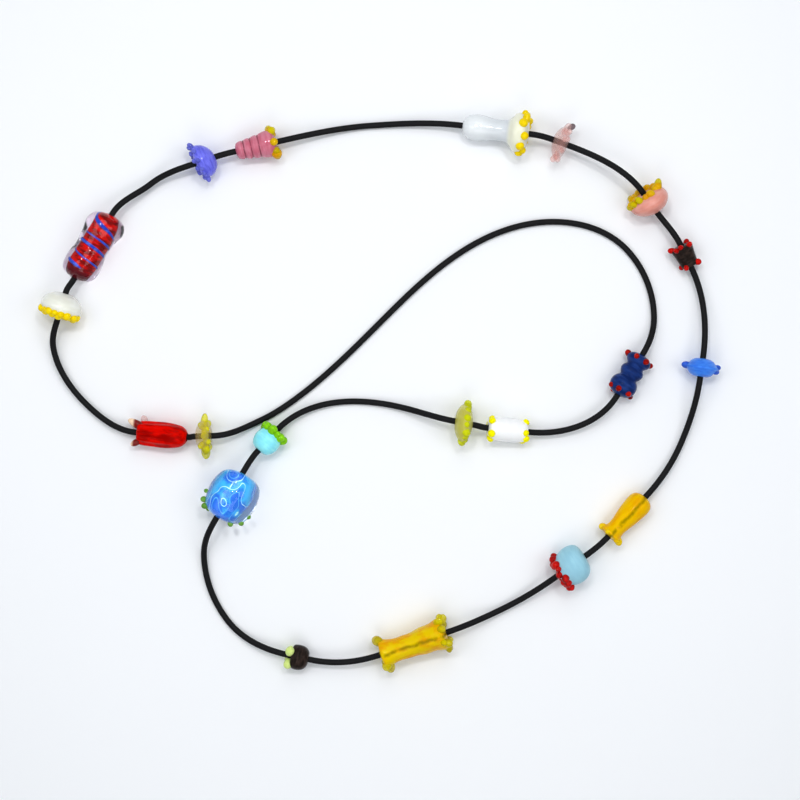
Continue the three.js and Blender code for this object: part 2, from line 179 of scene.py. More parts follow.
def grid_mesh(name, points, finish, wrap_rows=True, wrap_columns=True):
    """A smooth mesh through a grid of points. Each point joins its right and upper neighbours in a
    four-sided face, and a wrapped direction also joins its last points to its first. A tube, whose rows
    are rings that aren't joined into a loop, gets a face over each end."""
    rows, columns = points.shape[:2]
    index = np.arange(rows * columns).reshape(rows, columns)
    up = np.roll(index, -1, 0) if wrap_rows else index[1:]
    base = index if wrap_rows else index[:-1]
    quads = np.stack([base, np.roll(base, -1, 1), np.roll(up, -1, 1), up], -1)
    if not wrap_columns:
        quads = quads[:, :-1]
    faces = quads.reshape(-1, 4).tolist()
    if wrap_columns and not wrap_rows:
        faces += [index[0][::-1].tolist(), index[-1].tolist()]
    return face_mesh(name, points.reshape(-1, 3), faces, finish)


def face_mesh(name, points, faces, finish):
    """An object with these points, in millimetres, and these faces, all smooth. It sits at the origin."""
    mesh = bpy.data.meshes.new(name)
    mesh.from_pydata(points / 1000, [], faces)
    mesh.shade_smooth()
    mesh.materials.append(finish.material)
    piece = bpy.data.objects.new(name, mesh)
    bpy.context.collection.objects.link(piece)
    return piece


paper = Finish("white_paper", Roughness=0.9)
clouds = paper.noise(paper.place(), 3.0)
paper.feed("Base Color", paper.mix(clouds, (0.9, 0.915, 0.94, 1), (0.92, 0.93, 0.95, 1)))
reach = 30000
gap = 0.02
across, along = np.meshgrid(np.linspace(-reach, reach, 7), np.linspace(-reach, reach, 7))
flat = np.stack([across, along, 0 * across - gap], -1)
sheet = grid_mesh("white_sheet", flat, paper, wrap_rows=False, wrap_columns=False)


# The white trumpet bead is milky glass wound on a rod: a bulb at one end, a neck, and a mouth that flares
# into a disc with a ring of melted yellow nubs round its rim. This first bead also holds what all twenty are
# made with.
CORD_RADIUS = 1.5
HOLE = CORD_RADIUS + 0.3
# Light goes 2 mm deep into milky glass, in all its colours alike.
MILKY = {"Subsurface_Radius": (1, 1, 1), "Subsurface_Scale": 0.002}


class Bead:
    """A bead that stands for one solid: its size, and where it lies on the cord. In its own frame x runs
    along the hole, and z points up when roll is 0. Places and sizes are in millimetres, and angles in
    degrees."""

    def __init__(self, node, slot, place, heading, pitch, roll, length, diameter, skew=0.0, aside=0.0):
        self.node = node
        self.slot = slot
        self.middle = np.array(place)
        self.length = length
        self.radius = diameter / 2
        self.skew = skew
        self.aside = aside
        heading, pitch, roll = np.radians([heading, pitch, roll])
        turn = np.array([
            [np.cos(heading), -np.sin(heading), 0],
            [np.sin(heading), np.cos(heading), 0],
            [0, 0, 1],
        ])
        tip = np.array([[np.cos(pitch), 0, -np.sin(pitch)], [0, 1, 0], [np.sin(pitch), 0, np.cos(pitch)]])
        spin = np.array([[1, 0, 0], [0, np.cos(roll), -np.sin(roll)], [0, np.sin(roll), np.cos(roll)]])
        self.turn = turn @ tip @ spin

    def stops(self, lead=1.0):
        """The points just outside the hole, where the cord starts to bend, and the cord's direction."""
        forward = self.turn[:, 0]
        reach = self.length / 2 + lead
        return self.middle - reach * forward, self.middle + reach * forward, forward

    def finished(self, piece, local):
        """Keeps the bead's own coordinates on the piece for its patterns, hangs the piece on the root body,
        and hides the solid that it stands for.
        """
        kept = piece.data.attributes.new("bead", "FLOAT_VECTOR", "POINT")
        kept.data.foreach_set("vector", (local.reshape(-1, 3) / 10).ravel())
        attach(piece, "root")
        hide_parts(self.node)
        return piece

    def wound(
        self, name, finish, profile, hole=HOLE, wobble=0.03, ribs=(0, 0.0), seed=1, steps=96, around=80
    ):
        """Glass wound round a rod. Its half section is a closed smooth line through the profile's points,
        which are shares of the length and of the radius, and along the hole. It is carried round the hole.
        The radius swells and shrinks by a few slow waves, which fade out at the hole, and by ribs that
        grow towards the far end."""
        outer = np.array(profile) * (self.length, self.radius) - (self.length / 2, 0)
        x, r = smooth_section(outer, hole, steps)
        x, r = x[:, None], r[:, None]
        angle = np.linspace(0, 2 * np.pi, around, endpoint=False)[None]
        phase = np.random.default_rng(seed).uniform(0, 2 * np.pi, 4)
        waves = np.sin(2 * angle + phase[0] + 0.12 * x) + 0.7 * np.sin(3 * angle + phase[1] - 0.2 * x)
        waves = waves + np.sin(angle + phase[2]) + 0.5 * np.sin(0.7 * x + phase[3])
        count, depth = ribs
        rise = np.clip(x / self.length + 0.5, 0, 1)
        swell = 1 + wobble * waves / 2 + depth * rise * np.cos(count * angle)
        r = hole + (r - hole) * swell
        local = np.stack([x + 0 * r, -r * np.sin(angle), r * np.cos(angle)], -1)
        return self.finished(grid_mesh(name, self.laid(local), finish), local)

    def laid(self, local):
        """Bead coordinates as places on the table, for a row of rings or a row of nubs. The glass, but not
        its hole, is first carried aside, and then leant along the hole by skew for each millimetre to the
        left. Last, each ring or nub that would reach under the table is lifted onto it."""
        x, y, z = np.moveaxis(local, -1, 0)
        y = y + self.aside * np.clip(np.hypot(y, z) / HOLE - 1, 0, 1)
        places = np.stack([x + self.skew * y, y, z], -1) @ self.turn.T + self.middle
        places[..., 2] -= np.minimum(places[..., 2].min(axis=1, keepdims=True), 0)
        return places

    def nubs(self, name, finish, rows, around=18, rings=12):
        """Melted nubs, each a drop: a ball towards its tip, drawn out to a narrow foot in the glass. A row
        holds the share of the length, the share of the radius, the angle round the hole, the size, the
        stretch and the lean."""
        along, out, angle, size, stretch, lean = np.array(rows, float).T[..., None]
        drop, faces = drop_mesh(around, rings)
        x = drop[:, 0] * size / 2
        y = drop[:, 1] * size / 2
        z = drop[:, 2] * size / 2 * stretch
        angle, lean = np.radians(angle), np.radians(lean)
        x, z = x * np.cos(lean) + z * np.sin(lean), z * np.cos(lean) - x * np.sin(lean)
        x = x + (along - 0.5) * self.length
        z = z + out * self.radius
        y, z = y * np.cos(angle) - z * np.sin(angle), z * np.cos(angle) + y * np.sin(angle)
        local = np.stack([x, y, z], -1)
        copies = np.arange(len(rows))[:, None] * len(drop)
        joined = [[corner + offset for corner in face] for offset in copies[:, 0].tolist() for face in faces]
        return self.finished(face_mesh(name, self.laid(local).reshape(-1, 3), joined, finish), local)


def smooth_section(outer, hole, steps, samples=1600, even_count=1024, rounding=0.3):
    """A closed line through the outer points and back along the hole: a curve whose tangent at each point
    runs between its neighbours, sampled evenly by length, with its corners then rounded by a bell-shaped
    running average whose spread is rounding, in millimetres."""
    half = outer[-1, 0]
    wall = np.stack([np.linspace(half, -half, 6), np.full(6, hole)], -1)
    points = np.concatenate([outer, wall])
    t = np.linspace(0, len(points), samples, endpoint=False)
    i = t.astype(int)
    f = (t - i)[:, None]
    a, b, c, d = (points[(i + k) % len(points)] for k in (-1, 0, 1, 2))
    line = b + f * (c - a) / 2 + f**2 * (a - 2.5 * b + 2 * c - d / 2)
    line = line + f**3 * (1.5 * b - 1.5 * c + (d - a) / 2)
    gaps = np.linalg.norm(np.roll(line, -1, 0) - line, axis=1)
    length = np.concatenate([[0], np.cumsum(gaps)])
    closed = np.concatenate([line, line[:1]])
    even = np.linspace(0, length[-1], even_count, endpoint=False)
    line = np.stack([np.interp(even, length, closed[:, k]) for k in (0, 1)], -1)
    frequency = np.fft.fftfreq(even_count, length[-1] / even_count)
    spread = np.exp(-2 * (np.pi * rounding * frequency) ** 2)[:, None]
    line = np.fft.ifft(np.fft.fft(line, axis=0) * spread, axis=0).real
    pick = np.linspace(0, even_count, steps, endpoint=False).astype(int)
    return line[pick, 0], line[pick, 1]


def drop_mesh(around, rings, foot=1.5):
    """One drop about the z axis: a half ball above, and below it the same drawn out foot times as deep."""
    polar = np.linspace(0, np.pi, rings + 1)[1:-1, None]
    angle = np.linspace(0, 2 * np.pi, around, endpoint=False)[None]
    height = np.where(np.cos(polar) > 0, 1, foot) * np.cos(polar)
    body = np.stack([np.sin(polar) * np.cos(angle), np.sin(polar) * np.sin(angle), height + 0 * angle], -1)
    points = np.concatenate([body.reshape(-1, 3), [(0, 0, 1), (0, 0, -foot)]])
    index = np.arange((rings - 1) * around).reshape(rings - 1, around)
    beside = np.roll(index, -1, 1)
    sides = np.stack([index[1:], beside[1:], beside[:-1], index[:-1]], -1).reshape(-1, 4).tolist()
    top = np.stack([index[0], beside[0], np.full(around, len(points) - 2)], -1).tolist()
    bottom = np.stack([beside[-1], index[-1], np.full(around, len(points) - 1)], -1).tolist()
    return points, sides + top + bottom


def ring(count, along, out, size, stretch=1.2, lean=30, start=0, seed=1):
    """Rows for a ring of nubs, evenly set but for the small unevenness of hand work."""
    uneven = np.random.default_rng(seed).uniform(-1, 1, (4, count))
    angle = start + 360 / count * (np.arange(count) + 0.28 * uneven[0])
    grown = size * (1 + 0.18 * uneven[1])
    whole = np.ones(count)
    place = along + 0.025 * uneven[2]
    rows = [place, out * whole, angle, grown, stretch * whole, lean + 8 * uneven[3]]
    return np.array(rows).T.tolist()


def pale(colour):
    """The tint of what the glass mirrors, nearly its own colour, so that the white room leaves no veil."""
    return tuple(0.3 + 0.7 * part for part in colour) + (1,)


def solid_glass(name, colour, second, milk=0.0, rough=0.08, scale=1.6, stretch=(3, 1, 1), shine=0.45):
    """Opaque glass with faint bands of a second colour, laid round the bead as it was wound. milk is the
    share of the light that goes into it, and shine is how strongly its skin mirrors the room."""
    skin = {"Roughness": rough, "Specular_IOR_Level": shine, "Specular_Tint": pale(colour)}
    finish = Finish(name, **skin, Subsurface_Weight=milk, **MILKY)
    where = finish.own(stretch)
    clouds = finish.noise(where, scale, 3.0).between(0.35, 0.7)
    finish.feed("Base Color", finish.mix(clouds, colour + (1,), second + (1,)))
    finish.melted(where, 1.6, 0.25)
    return finish


def tinted_glass(
    name, colour, second, stopped, shine=0.4, rough=0.04, scale=1.6, stretch=(1, 1, 1), core=None
):
    """Coloured glass that the cord shows through. stopped is the share of the light that each outer face
    stops. The wall of the hole stops none, so the cord is as plain in a thick bead as in a thin one. A
    core colour lays a crooked dark line above and below the hole, as the cord makes it seen through thick
    glass."""
    finish = Finish(name, Roughness=rough, Specular_IOR_Level=shine, Specular_Tint=pale(colour))
    where = finish.own(stretch)
    veins = finish.noise(where, scale, 3.0, 0.6).between(0.4, 0.65)
    blend = finish.mix(veins, colour + (1,), second + (1,))
    # The core line is painted shade: the dark cord as it shows through thick glass, laid into the base
    # colour.
    if core:
        crooked = finish.across("y") + (finish.noise(finish.own(), 2.0, 4.0) - 0.5) * 0.3
        broken = finish.noise(finish.own(), 1.6, 3.0).between(0.36, 0.54)
        blend = finish.mix((1 - abs(crooked).between(0.0, 0.16)) * broken * 0.85, blend, core + (1,))
    finish.feed("Base Color", blend)
    outside = finish.node("ShaderNodeVectorMath", {"operation": "LENGTH"}, finish.own((0, 1, 1)))
    finish.feed("Alpha", outside.between(HOLE / 10 + 0.01, HOLE / 10 + 0.04) * stopped)
    finish.melted(where, 1.4, 0.3)
    return finish


def casing_glass(name, colour, second, scale=1.2):
    """Clear glass that bends what is seen through it, with faint clouds of a second tint. The piece made
    of it casts no shadow, so that the lamps reach the glass inside."""
    finish = Finish(name, Roughness=0.01, IOR=1.45, Transmission_Weight=1.0)
    clouds = finish.noise(finish.own(), scale, 2.0).between(0.4, 0.7)
    finish.feed("Base Color", finish.mix(clouds, colour + (1,), second + (1,)))
    finish.melted(finish.own(), 1.4, 0.3)
    return finish


trumpet = Bead(
    "white_trumpet_bead", "opal_white_glass", place=(57, 129.6, 8.99),
    heading=-8.5, pitch=8, roll=12, length=32.5, diameter=19.6)
milky_white = Finish(
    "milky_white_glass", Roughness=0.08, Specular_IOR_Level=0.35, Subsurface_Weight=0.4, **MILKY)
# The neck is painted a darker grey than the bulb: painted shade of the cord, as it shows through the thin
# milky glass there.
down_the_neck = milky_white.across("x")
opal = milky_white.mix(down_the_neck.between(-0.9, 0.1), (0.84, 0.87, 0.89, 1), (0.72, 0.75, 0.78, 1))
opal = milky_white.mix(down_the_neck.between(0.55, 0.8), opal, (0.87, 0.87, 0.72, 1))
milky_white.feed("Base Color", opal)
milky_white.melted(milky_white.own(), 1.6, 0.25)
trumpet.wound(
    "white_trumpet_glass",
    milky_white,
    [(0, 0.3), (0.02, 0.44), (0.08, 0.59), (0.16, 0.66), (0.25, 0.66), (0.36, 0.6), (0.48, 0.54),
     (0.6, 0.53), (0.68, 0.58), (0.74, 0.74), (0.79, 0.94), (0.85, 1), (0.93, 0.97), (0.98, 0.8), (1, 0.45)],
    seed=1,
)
sunny_yellow = solid_glass("sunny_yellow_glass", (0.96, 0.74, 0.0), (0.88, 0.64, 0.0), milk=0.1)
mouth_nubs = ring(9, 0.96, 0.9, 3.8, 1.1, 40, 150, seed=1)[:5] + [
    (0.9, 0.98, 78, 4.6, 0.9, 15), (0.95, 0.9, 66, 3.6, 1.1, 40), (0.92, 0.98, 40, 4.4, 0.8, 30),
    (0.97, 0.86, 6, 4.2, 1.0, 50), (0.93, 0.98, -34, 4.6, 0.9, 25), (0.96, 0.98, -58, 3.8, 1.1, 30),
    (0.92, 1.02, -78, 3, 1.2, 20)]
trumpet.nubs("white_trumpet_nubs", sunny_yellow, mouth_nubs)


# The pale pink disc is a thin wheel of see-through pink glass with small clear pink nubs on its rim. It leans
# on the cord, which shows through it. One nub at the top is smoky grey.
pink_disc = Bead(
    "pale_pink_disc_bead", "pale_pink_glass", place=(89, 123.1, 10.24),
    heading=-20, pitch=-2, roll=0, length=7.5, diameter=17.4, skew=-0.04)
pale_pink = tinted_glass("pale_pink_glass", (0.86, 0.48, 0.44), (0.9, 0.62, 0.58), stopped=0.34)
pink_disc.wound(
    "pale_pink_wheel",
    pale_pink,
    [(0, 0.3), (0.06, 0.5), (0.2, 0.76), (0.4, 0.95), (0.55, 1), (0.75, 0.9), (0.92, 0.62), (1, 0.3)],
    seed=2,
    wobble=0.05,
)
pink_nubs = [
    (0.8, 0.6, -20, 3.2, 1.1, 40), (0.8, 0.86, -48, 2.8, 1.2, 30), (0.62, 0.98, 78, 3.2, 1.2, 20),
    (0.4, 1, 92, 3.2, 1.2, -20), (0.7, 0.8, 40, 2.2, 1.1, 35), (0.6, 1, 140, 3, 1.2, 10),
    (0.6, 1, 190, 3, 1.2, 10), (0.6, 1, 235, 3, 1.2, 10), (0.66, 0.96, -76, 3.4, 1.3, 20),
]
pink_disc.nubs("pale_pink_nubs", pale_pink, pink_nubs)
smoke = tinted_glass("smoky_pink_glass", (0.12, 0.08, 0.09), (0.25, 0.18, 0.2), stopped=0.8)
pink_disc.nubs("pale_pink_dark_nub", smoke, [(0.92, 1.06, -86, 3, 1.2, 40)])


# The peach bead is a thick cushion of opaque salmon glass. A crown of see-through yellow petals stands on the
# face where the cord comes in: two long ones at the sides, and a band of melted ones between.
peach = Bead(
    "peach_nubbed_bead", "peach_glass", place=(133.7, 93.3, 9.57),
    heading=-51, pitch=-17, roll=0, length=11, diameter=20, skew=0.09)
salmon = solid_glass("salmon_glass", (0.76, 0.34, 0.28), (0.82, 0.43, 0.37), milk=0.3)
peach.wound(
    "peach_cushion",
    salmon,
    [(0, 0.36), (0.05, 0.68), (0.18, 0.9), (0.38, 1), (0.62, 0.96), (0.84, 0.74), (0.96, 0.5), (1, 0.3)],
    seed=3,
)
honey = tinted_glass("honey_glass", (0.84, 0.56, 0.0), (0.8, 0.38, 0.0), stopped=0.85)
peach_band = ring(9, 0.05, 0.6, 4.4, 1.1, -60, 22, seed=3) + ring(4, 0.14, 0.8, 4, 1.2, -30, 80, seed=6)[:2]
peach.nubs("peach_crown_band", honey, peach_band + [(0.02, 0.74, -70, 4.2, 1.2, -40)])
petal_clear = tinted_glass("clear_petal_glass", (0.74, 0.66, 0.0), (0.68, 0.54, 0.0), stopped=0.78)
peach_petals = [
    (-0.02, 0.8, -78, 3.8, 1.9, -50), (0.0, 0.74, 42, 3.6, 1.3, -60), (0.08, 0.84, 66, 3.6, 1.4, -35),
    (0.2, 0.9, 92, 3.6, 1.2, -15), (0.1, 0.9, 150, 4, 1.3, -20), (0.1, 0.9, 205, 4, 1.3, -20),
]
peach.nubs("peach_crown_petals", petal_clear, peach_petals)


# The brown cup is a short cone of nearly black glass, wide where the cord comes in, with bright red dots
# round both ends.
cup = Bead(
    "brown_cup_bead", "dark_brown_glass", place=(152, 67, 6.58),
    heading=-62, pitch=-12, roll=30, length=11.5, diameter=11)
dark_brown = solid_glass(
    "dark_brown_glass", (0.022, 0.016, 0.014), (0.055, 0.036, 0.03), shine=0.12, scale=3.0)
cup.wound(
    "brown_cup_glass",
    dark_brown,
    [(0, 0.44), (0.03, 0.8), (0.12, 1), (0.28, 0.95), (0.55, 0.86), (0.82, 0.8), (0.96, 0.74), (1, 0.46)],
    seed=4,
)
signal_red = solid_glass("signal_red_glass", (0.66, 0.01, 0.005), (0.38, 0.006, 0.005), shine=0.3)
cup_dots = ring(5, 0.03, 0.95, 2.7, 1.3, -35, seed=4) + ring(5, 0.92, 0.8, 2.8, 1.1, 35, seed=5)
cup.nubs("brown_cup_dots", signal_red, cup_dots + [(0.04, 0.66, -10, 3.2, 1, -60)])


# The blue lens is a thick disc of cloudy blue glass that thins towards its rim. Nubs of a darker blue stand
# on the rim.
lens = Bead(
    "blue_lens_bead", "mid_blue_glass", place=(159.5, 11.1, 8.83),
    heading=-98, pitch=0, roll=0, length=9.2, diameter=15.6)
cloudy_blue = solid_glass("cloudy_blue_glass", (0.08, 0.3, 0.92), (0.05, 0.22, 0.82), milk=0.2, scale=3.0)
lens.wound(
    "blue_lens_glass",
    cloudy_blue,
    [(0, 0.3), (0.03, 0.5), (0.13, 0.7), (0.3, 0.88), (0.42, 1), (0.5, 1.06), (0.58, 1), (0.7, 0.88),
     (0.87, 0.7), (0.97, 0.5), (1, 0.3)],
    seed=5,
)
deep_blue = solid_glass("deep_blue_glass", (0.045, 0.15, 0.68), (0.03, 0.1, 0.5), milk=0.1)
lens_nubs = [
    (0.46, 0.99, 88, 3.6, 1.4, 0), (0.4, 0.98, -86, 3, 1.2, -10), (0.62, 0.98, -94, 2.8, 1.1, 15),
    (0.66, 0.9, -70, 2.4, 1, 30), (0.5, 1, 150, 3.2, 1.2, 0), (0.55, 1, 210, 3.2, 1.2, 5),
]
lens.nubs("blue_lens_nubs", deep_blue, lens_nubs)


# The yellow vase is clear yellow glass: a round shoulder where the cord comes in, a narrow neck, and a flared
# lip with a few yellow nubs. The cord shows through it as an olive line.
vase = Bead(
    "yellow_vase_bead", "yellow_glass", place=(122.5, -63.3, 7.02),
    heading=-134, pitch=5, roll=0, length=26.5, diameter=12.6)
# The olive line is painted shade: the dark cord as it shows through the thick yellow glass of the vase and
# the tube.
seen_cord_olive = (0.34, 0.24, 0.0)
clear_yellow = tinted_glass(
    "clear_yellow_glass", (0.94, 0.6, 0.0), (0.9, 0.46, 0.0), stopped=0.92, shine=0.2, stretch=(0.6, 2, 2),
    core=seen_cord_olive)
vase.wound(
    "yellow_vase_glass",
    clear_yellow,
    [(0, 0.34), (0.02, 0.64), (0.08, 0.9), (0.18, 1), (0.36, 0.96), (0.56, 0.84), (0.72, 0.72),
     (0.82, 0.71), (0.9, 0.84), (0.96, 0.98), (0.99, 0.86), (1, 0.5)],
    seed=6,
)
lip_yellow = tinted_glass("lip_yellow_glass", (0.98, 0.74, 0.0), (0.94, 0.62, 0.0), stopped=0.85)
vase_nubs = [
    (0.95, 0.86, 92, 3.6, 1.1, 30), (0.95, 0.84, -80, 3.8, 1.2, 30), (0.97, 0.78, -50, 3, 1, 40),
    (0.96, 0.84, 180, 3.2, 1.1, 20), (0.97, 0.8, 30, 2.8, 1, 30),
]
vase.nubs("yellow_vase_nubs", lip_yellow, vase_nubs)


# The aqua bell is opaque pale blue glass with a satin skin, wider where the cord comes in, with rows of
# glossy red dots crowded round its narrow end.
bell = Bead(
    "aqua_bell_bead", "aqua_glass", place=(94.8, -87.4, 9.69),
    heading=-144, pitch=-3, roll=10, length=15.5, diameter=18.8, skew=0.08)
pale_aqua = solid_glass(
    "pale_aqua_glass", (0.35, 0.62, 0.74), (0.39, 0.67, 0.78), milk=0.2, rough=0.3, shine=0.15)
bell.wound(
    "aqua_bell_glass",
    pale_aqua,
    [(0, 0.38), (0.02, 0.58), (0.08, 0.78), (0.2, 0.94), (0.38, 1), (0.6, 0.97), (0.8, 0.88), (0.93, 0.72),
     (1, 0.45)],
    wobble=0.05,
    seed=7,
)
deep_red = solid_glass("deep_red_glass", (0.62, 0.008, 0.005), (0.3, 0.004, 0.003), shine=0.5)
bell_dots = ring(9, 0.98, 0.62, 3.6, 1.05, 60, seed=8) + ring(12, 0.9, 0.84, 3.4, 1.1, 35, 10, seed=9)
bell_dots += [(0.84, 0.92, 84, 3.4, 1.2, 20), (0.86, 0.9, -80, 3.4, 1.2, 20)]
bell.nubs("aqua_bell_dots", deep_red, bell_dots)


# The amber tube is a long waisted bead of clear yellow glass with orange streaks. A frill of small clear nubs
# stands round the end where the cord comes in, and larger ones round the other. The cord is a dark line in
# it.
tube = Bead(
    "amber_tube_bead", "amber_glass", place=(15.9, -126.3, 9.3),
    heading=-161, pitch=-3, roll=0, length=34, diameter=15.6)
amber = tinted_glass(
    "amber_glass", (0.9, 0.66, 0.0), (0.88, 0.42, 0.0), stopped=0.88, shine=0.25, scale=1.4,
    stretch=(0.8, 1.6, 1.6), core=seen_cord_olive)
tube.wound(
    "amber_tube_glass",
    amber,
    [(0, 0.46), (0.01, 0.8), (0.04, 1.04), (0.1, 1.02), (0.2, 0.95), (0.35, 0.9), (0.55, 0.78),
     (0.72, 0.74), (0.84, 0.78), (0.93, 0.88), (0.98, 0.9), (1, 0.5)],
    seed=8,
    wobble=0.1,
)
olive_yellow = tinted_glass("olive_yellow_glass", (0.82, 0.74, 0.0), (0.58, 0.46, 0.0), stopped=0.66)
tube_nubs = ring(7, 0.01, 1.0, 3.8, 1.15, -40, 12, seed=10) + ring(6, 0.05, 1.08, 3, 1.2, -10, 44, seed=28)
tube_nubs += ring(5, 0.98, 0.88, 4.6, 1.1, 30, 30, seed=11)[1:]
tube_nubs += [(0.93, 0.98, -92, 4.6, 1.2, 10), (0.99, 0.92, 84, 5, 1.1, 40)]
tube.nubs("amber_tube_nubs", olive_yellow, tube_nubs)


# The brown button is a small dome of nearly black glass. Four big lime dots sit on its flat face, where the
# cord goes out.
button = Bead(
    "brown_button_bead", "dark_brown_glass", place=(-40.9, -133.7, 5.99),
    heading=168, pitch=0, roll=45, length=9, diameter=12.4)
button.wound(
    "brown_button_glass",
    dark_brown,
    [(0, 0.36), (0.05, 0.62), (0.22, 0.88), (0.48, 1), (0.78, 0.98), (0.95, 0.84), (1, 0.46)],
    seed=9,
)
lime_cream = solid_glass("lime_cream_glass", (0.66, 0.8, 0.26), (0.7, 0.82, 0.32), milk=0.3)
button.nubs("brown_button_dots", lime_cream, ring(4, 1.06, 0.8, 5, 1, 0, seed=12))


# The clear blue bead is the biggest. Bright blue glass with pale scribbles was wound first, then cased in
# clear glass, thickest on one side, and green nubs were set round the end where the cord comes in.
big_blue = Bead(
    "clear_blue_bead", "clear_blue_glass", place=(-75.2, -52.2, 12.53),
    heading=60, pitch=-6, roll=0, length=24.5, diameter=24.6, aside=-1.5)
water = casing_glass("water_blue_glass", (0.84, 0.91, 1.0), (0.74, 0.85, 0.98))
big_blue.wound(
    "clear_blue_casing",
    water,
    [(0, 0.32), (0.03, 0.56), (0.12, 0.82), (0.3, 0.98), (0.52, 1.02), (0.74, 0.97), (0.9, 0.8),
     (0.98, 0.54), (1, 0.3)],
    seed=10,
).visible_shadow = False
scribbled = Finish("scribbled_blue_glass", Roughness=0.15, Coat_Weight=0.2)
drift = scribbled.noise(scribbled.own(), 1.3, 3.0)
loops = scribbled.noise(scribbled.own((1, 1.3, 1.3)), 0.8, 1.0)
thin = 1 - abs(loops - 0.53).between(0.003, 0.009)
dashes = 1 - abs(loops - 0.44).between(0.003, 0.01)
blues = scribbled.mix(drift.between(0.44, 0.6), (0.03, 0.21, 0.8, 1), (0.07, 0.55, 0.96, 1))
blues = scribbled.mix(thin, blues, (0.6, 1, 1, 1))
scribbled.feed("Base Color", scribbled.mix(dashes * 0.6, blues, (0.25, 0.85, 1, 1)))
# The core sits nearer the hole's line than the casing, so the clear glass is thickest on the other side.
big_blue.aside = -0.3
big_blue.wound(
    "clear_blue_core",
    scribbled,
    [(0.03, 0.2), (0.07, 0.38), (0.18, 0.54), (0.5, 0.62), (0.8, 0.56), (0.94, 0.38), (0.985, 0.2)],
    hole=1.9,
    seed=11,
)
big_blue.aside = -1.5
grass_green = solid_glass("grass_green_glass", (0.12, 0.3, 0.04), (0.24, 0.44, 0.1), milk=0.2)
blue_nubs = [
    (0.34, 1.02, -86, 2.2, 1.1, -10), (0.17, 0.94, -86, 3, 1.1, -20), (0.07, 0.76, -84, 3.2, 1.2, -35),
    (0.31, 0.96, 88, 2.6, 1.1, -10), (0.13, 0.84, 86, 2.8, 1.1, -25), (0.01, 0.5, 78, 2.8, 1.1, -50),
    (0.06, 0.8, 150, 3, 1.1, -30), (0.06, 0.8, 190, 3, 1.1, -30), (0.06, 0.8, 230, 3, 1.1, -30),
]
big_blue.nubs("clear_blue_nubs", grass_green, blue_nubs)


# The turquoise bead is opaque and round, with a ruffle of lime nubs on the side where the cord goes out. The
# ruffle leans against the other run of the cord.
turquoise = Bead(
    "turquoise_bead", "turquoise_glass", place=(-57.2, -25.6, 8.2),
    heading=48, pitch=-10, roll=0, length=12, diameter=13.4)
bright_turquoise = solid_glass("bright_turquoise_glass", (0.3, 0.84, 0.98), (0.38, 0.95, 1.0), milk=0.2)
turquoise.wound(
    "turquoise_ball",
    bright_turquoise,
    [(0, 0.36), (0.04, 0.6), (0.18, 0.86), (0.42, 1), (0.68, 0.97), (0.9, 0.8), (1, 0.5)],
    seed=12,
)
lime = solid_glass("lime_glass", (0.3, 0.72, 0.01), (0.2, 0.5, 0.01), milk=0.2, scale=3.0)
turquoise_ruffle = ring(11, 0.95, 0.84, 4.2, 1.1, 40, 14, seed=14) + ring(6, 1.0, 0.6, 3.4, 1, 70, seed=29)
turquoise.nubs("turquoise_ruffle", lime, turquoise_ruffle)


# The olive disc is a thin wheel of cloudy olive glass that leans on the cord, with a ridge of small nubs on
# its rim. They are of a clearer and brighter lime glass.
olive_disc = Bead(
    "olive_disc_bead", "olive_glass", place=(40.9, -16.4, 10.8),
    heading=-11, pitch=-2, roll=0, length=8.8, diameter=19, skew=-0.08)
olive = tinted_glass("olive_glass", (0.7, 0.66, 0.14), (0.8, 0.78, 0.28), stopped=0.76, rough=0.1)
olive_disc.wound(
    "olive_wheel",
    olive,
    [(0, 0.3), (0.05, 0.54), (0.2, 0.8), (0.4, 0.97), (0.58, 1), (0.76, 0.9), (0.92, 0.6), (1, 0.3)],
    seed=13,
)
olive_lime = tinted_glass("olive_lime_glass", (0.78, 0.84, 0.0), (0.64, 0.68, 0.0), stopped=0.75)
olive_nubs = ring(14, 0.62, 0.88, 3.8, 1.0, 20, seed=15)
olive_nubs += [(0.62, 1.0, -88, 4, 1.1, 10), (0.5, 0.98, 90, 4, 1.1, 10)]
olive_disc.nubs("olive_nubs", olive_lime, olive_nubs)


# The white barrel is opaque white glass with rounded shoulders. A ring of six flat yellow dots sits on the
# shoulder at each end.
barrel = Bead(
    "white_barrel_bead", "white_glass", place=(62.8, -19.9, 8.06),
    heading=-6, pitch=-11, roll=15, length=20, diameter=12.8)
pure_white = solid_glass("pure_white_glass", (0.98, 0.98, 0.99), (0.96, 0.97, 0.98), milk=0.2, shine=0.2)
barrel.wound(
    "white_barrel_glass",
    pure_white,
    [(0, 0.4), (0.02, 0.68), (0.1, 0.86), (0.3, 0.93), (0.5, 0.95), (0.7, 0.93), (0.9, 0.86), (0.98, 0.68),
     (1, 0.4)],
    wobble=0.015,
    seed=14,
)
dot_yellow = solid_glass("dot_yellow_glass", (0.98, 0.92, 0.0), (0.96, 0.88, 0.0), shine=0.2)
barrel_dots = ring(6, 0.06, 0.82, 3.4, 0.7, -40, 12, seed=16)
barrel_dots += ring(6, 0.94, 0.82, 3.4, 0.7, 40, -20, seed=17)
barrel.nubs("white_barrel_dots", dot_yellow, barrel_dots)


